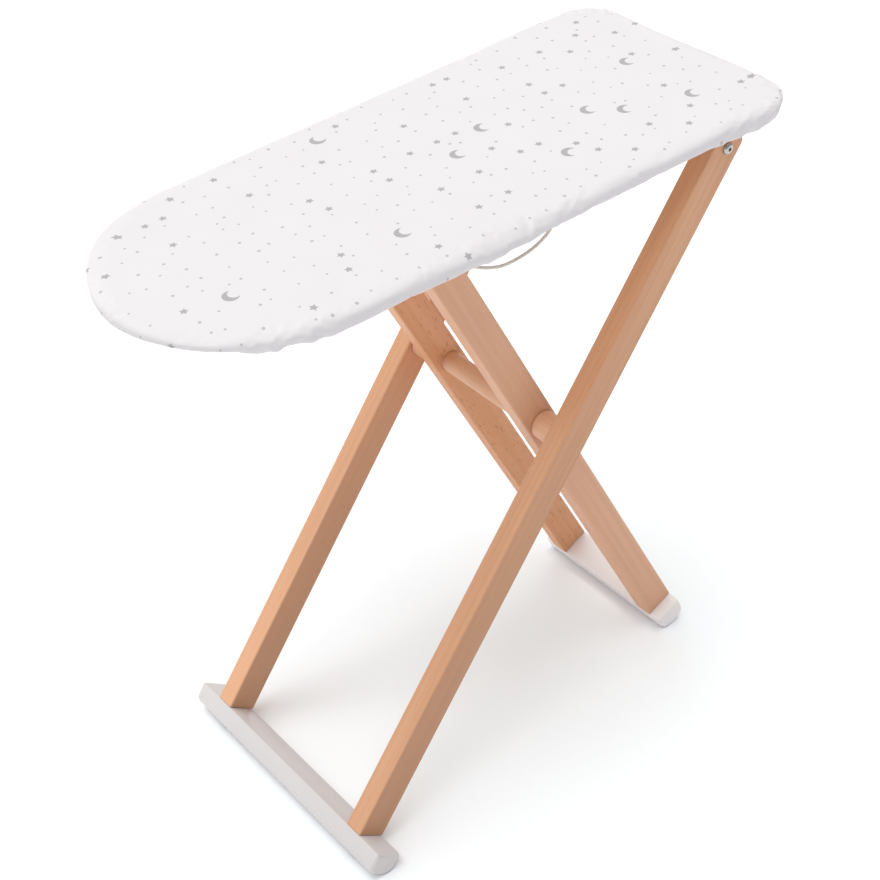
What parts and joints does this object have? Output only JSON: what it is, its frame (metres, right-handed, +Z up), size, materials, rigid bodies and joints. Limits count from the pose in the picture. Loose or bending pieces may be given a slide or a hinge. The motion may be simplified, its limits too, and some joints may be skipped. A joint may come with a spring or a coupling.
{
  "type": "toy ironing board",
  "caption": "Child's toy ironing board: padded board with a rounded nose in a printed cotton cover, on crossed wooden legs that fold flat together with the board.",
  "frame": {"origin": "on the floor, under the middle of the object's box, with the legs open", "axes": "+X from the rounded nose to the square end, +Y to the side away from the drawstring loop, +Z up"},
  "size_m": [0.538, 0.262, 0.537],
  "materials": {
    "beech": "sanded beech under a thin matt clear coat",
    "white_paint": "wood painted white, satin",
    "plywood": "bare plywood",
    "foam": "soft foam pad",
    "cotton": "white cotton printed with small grey stars, crescents and dots",
    "cord": "twisted natural cord",
    "steel": "plated steel fasteners",
    "brass": "plain brass inserts"
  },
  "bodies": {
    "outer_frame": {"outer_leg_right": "beech", "outer_leg_left": "beech", "outer_foot": "white_paint", "outer_foot_screw_right": "steel", "outer_foot_screw_left": "steel", "pivot_dowel": "beech", "pivot_spacer_right": "beech", "pivot_spacer_left": "beech"},
    "inner_frame": {"inner_leg_right": "beech", "inner_leg_left": "beech", "inner_foot": "white_paint", "inner_foot_screw_right": "steel", "inner_foot_screw_left": "steel", "inner_top_bar": "beech"},
    "board": {"board_panel": "plywood", "foam_pad": "foam", "fabric_cover": "cotton", "drawstring": "cord", "hinge_cleat_right": "beech", "hinge_insert_right": "brass", "hinge_washer_right": "steel", "hinge_bolt_right": "steel", "hinge_cleat_left": "beech", "hinge_insert_left": "brass", "hinge_washer_left": "steel", "hinge_bolt_left": "steel", "cleat_screw_right_front": "steel", "cleat_screw_right_back": "steel", "cleat_screw_left_front": "steel", "cleat_screw_left_back": "steel", "catch_block_right": "beech", "catch_screw_right_front": "steel", "catch_screw_right_back": "steel", "catch_block_left": "beech", "catch_screw_left_front": "steel", "catch_screw_left_back": "steel"}
  },
  "joints": [
    {"name": "leg_fold", "type": "hinge", "parent": "outer_frame", "child": "inner_frame", "pos_m": [0.0458, 0, 0.3071], "axis": [0, -1, 0], "range_deg": [0, 112]},
    {"name": "board_fold", "type": "hinge", "parent": "outer_frame", "child": "board", "pos_m": [0.20735, 0, 0.50659], "axis": [0, -1, 0], "range_deg": [0, 47.6]}
  ],
  "couplings": [
    {"joint": "board_fold", "follows": "leg_fold", "ratio": 0.425}
  ]
}
